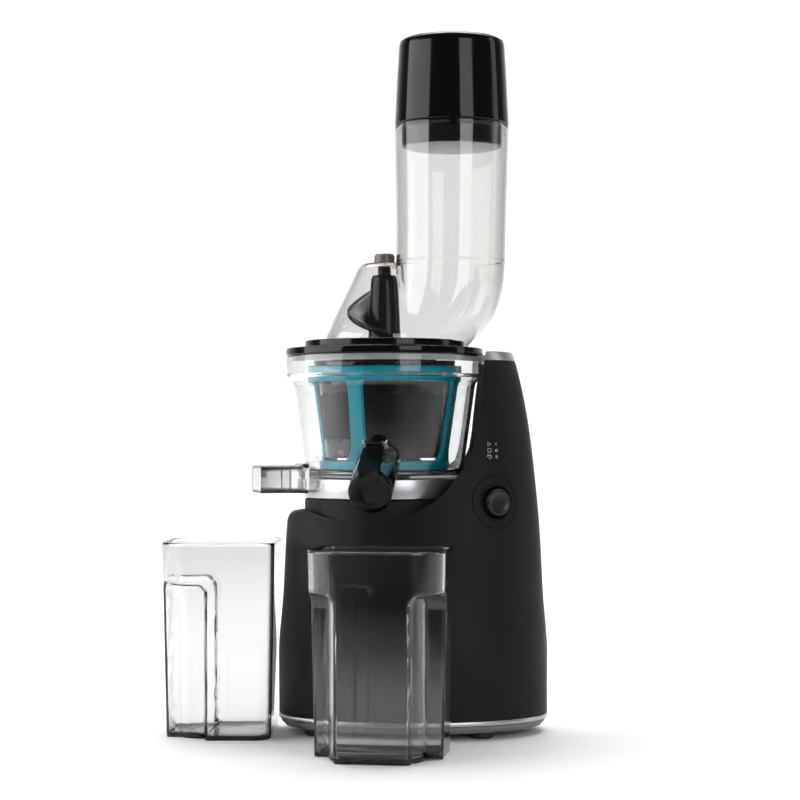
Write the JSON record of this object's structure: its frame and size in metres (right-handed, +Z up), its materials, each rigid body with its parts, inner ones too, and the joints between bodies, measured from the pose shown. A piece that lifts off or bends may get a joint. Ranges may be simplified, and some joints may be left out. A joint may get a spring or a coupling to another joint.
{
  "type": "slow juicer",
  "caption": "Upright slow juicer: wide feed chute with pusher, clear bowl with auger, strainer and wiper frame, capped juice spout, pulp outlet, jugs.",
  "frame": {"origin": "middle of the object's bounding box, on the surface it stands on", "axes": "+Z up, -Y towards the juice spout and the user, +X towards the tower"},
  "size_m": [0.2864, 0.2494, 0.5195],
  "materials": {
    "matte_black": "soft matte",
    "silver_plastic": "brushed",
    "grey_plastic": "fine grain",
    "gloss_black": "polished",
    "dark_plastic": "satin",
    "black_rubber": "matte",
    "clear_plastic": "clear",
    "smoky_plastic": "smoked clear",
    "blue_plastic": "satin",
    "silicone": "soft",
    "steel": "fine brushed",
    "white_nylon": "moulded",
    "brass": "machined",
    "circuit_board": "lacquered",
    "brown_plastic": "polished"
  },
  "bodies": {
    "base": {"base_shell": "matte_black", "tower_cap": "silver_plastic", "collar_ring": "silver_plastic", "base_trim_ring": "silver_plastic", "bottom_plate": "grey_plastic", "foot_front_right": "black_rubber", "foot_rear_right": "black_rubber", "foot_front_left": "black_rubber", "foot_rear_left": "black_rubber", "base_screw_1": "steel", "base_screw_2": "steel", "base_screw_3": "steel", "base_screw_4": "steel", "button_bezel": "matte_black", "switch_module": "dark_plastic", "cord_gland": "black_rubber", "motor_can": "steel", "motor_end_plate": "steel", "gearbox_tray": "dark_plastic", "gearbox_cover": "dark_plastic", "gear_pin": "steel", "output_bush": "brass", "shaft_seal": "silicone", "control_board": "circuit_board", "interlock_switch": "dark_plastic"},
    "button": {"button_cap": "gloss_black"},
    "rotor": {"motor_rotor": "steel", "motor_pinion": "brass"},
    "reduction": {"compound_gear": "white_nylon"},
    "output": {"output_gear": "white_nylon", "output_shaft": "steel"},
    "bowl": {"juice_bowl": "clear_plastic", "pulp_outlet": "smoky_plastic", "cap_hinge_pin": "steel", "bowl_seal": "silicone", "idler_pin": "steel", "strainer": "dark_plastic", "strainer_screen": "steel"},
    "spout_lever": {"spout_cap": "gloss_black", "cap_seal": "silicone"},
    "wiper_frame": {"brush_frame": "blue_plastic", "wiper_blade_1": "silicone", "wiper_blade_2": "silicone", "wiper_blade_3": "silicone", "wiper_blade_4": "silicone"},
    "idler": {"idler_gear": "white_nylon"},
    "auger_unit": {"auger": "gloss_black", "auger_gear": "white_nylon"},
    "lid": {"lid_ring": "gloss_black", "lid_dome": "clear_plastic", "feed_tube": "clear_plastic", "lid_seal": "silicone", "bearing_cap": "brown_plastic"},
    "pusher": {"pusher_handle": "gloss_black", "pusher_plug": "gloss_black", "pusher_end_plate": "gloss_black", "pusher_key": "gloss_black"},
    "juice_container": {"juice_jug": "smoky_plastic"},
    "pulp_container": {"pulp_jug": "smoky_plastic"}
  },
  "joints": [
    {"name": "drive_spin", "type": "hinge", "parent": "base", "child": "output", "pos_m": [0.02032, 0.05046, 0.15], "axis": [0, 0, 1], "continuous": true},
    {"name": "reduction_spin", "type": "hinge", "parent": "base", "child": "reduction", "pos_m": [0.06032, 0.05046, 0.105], "axis": [0, 0, 1], "continuous": true},
    {"name": "rotor_spin", "type": "hinge", "parent": "base", "child": "rotor", "pos_m": [0.09032, 0.05046, 0.06], "axis": [0, 0, 1], "continuous": true},
    {"name": "button_press", "type": "slide", "parent": "base", "child": "button", "axis": [-0.4939, 0.8695, 0], "range_m": [0, 0.0025], "stiffness_N_per_m": 800},
    {"name": "bowl_lift", "type": "slide", "parent": "base", "child": "bowl", "axis": [0, 0, 1], "range_m": [0, 0.07]},
    {"name": "cap_hinge", "type": "hinge", "parent": "bowl", "child": "spout_lever", "pos_m": [0.01392, -0.02848, 0.21404], "axis": [-0.9927, 0.1205, 0], "range_deg": [0, 90]},
    {"name": "auger_spin", "type": "hinge", "parent": "bowl", "child": "auger_unit", "pos_m": [0.02032, 0.05046, 0.24], "axis": [0, 0, 1], "continuous": true},
    {"name": "idler_spin", "type": "hinge", "parent": "bowl", "child": "idler", "pos_m": [0.03407, 0.07428, 0.198], "axis": [0, 0, 1], "continuous": true},
    {"name": "wiper_spin", "type": "hinge", "parent": "bowl", "child": "wiper_frame", "pos_m": [0.02032, 0.05046, 0.23], "axis": [0, 0, 1], "continuous": true},
    {"name": "lid_lift", "type": "slide", "parent": "bowl", "child": "lid", "axis": [0, 0, 1], "range_m": [0, 0.12]},
    {"name": "pusher_lift", "type": "slide", "parent": "lid", "child": "pusher", "axis": [0, 0, 1], "range_m": [0, 0.09]},
    {"name": "juice_jug_slide", "type": "slide", "parent": "base", "child": "juice_container", "axis": [-0.1478, -0.989, 0], "range_m": [0, 0.15]},
    {"name": "pulp_jug_slide", "type": "slide", "parent": "base", "child": "pulp_container", "axis": [-0.9998, 0.0175, 0], "range_m": [0, 0.12]}
  ],
  "couplings": [
    {"joint": "reduction_spin", "follows": "drive_spin", "ratio": -4},
    {"joint": "rotor_spin", "follows": "drive_spin", "ratio": 12},
    {"joint": "auger_spin", "follows": "drive_spin", "ratio": 1},
    {"joint": "idler_spin", "follows": "drive_spin", "ratio": -1.2},
    {"joint": "wiper_spin", "follows": "drive_spin", "ratio": -0.375}
  ]
}
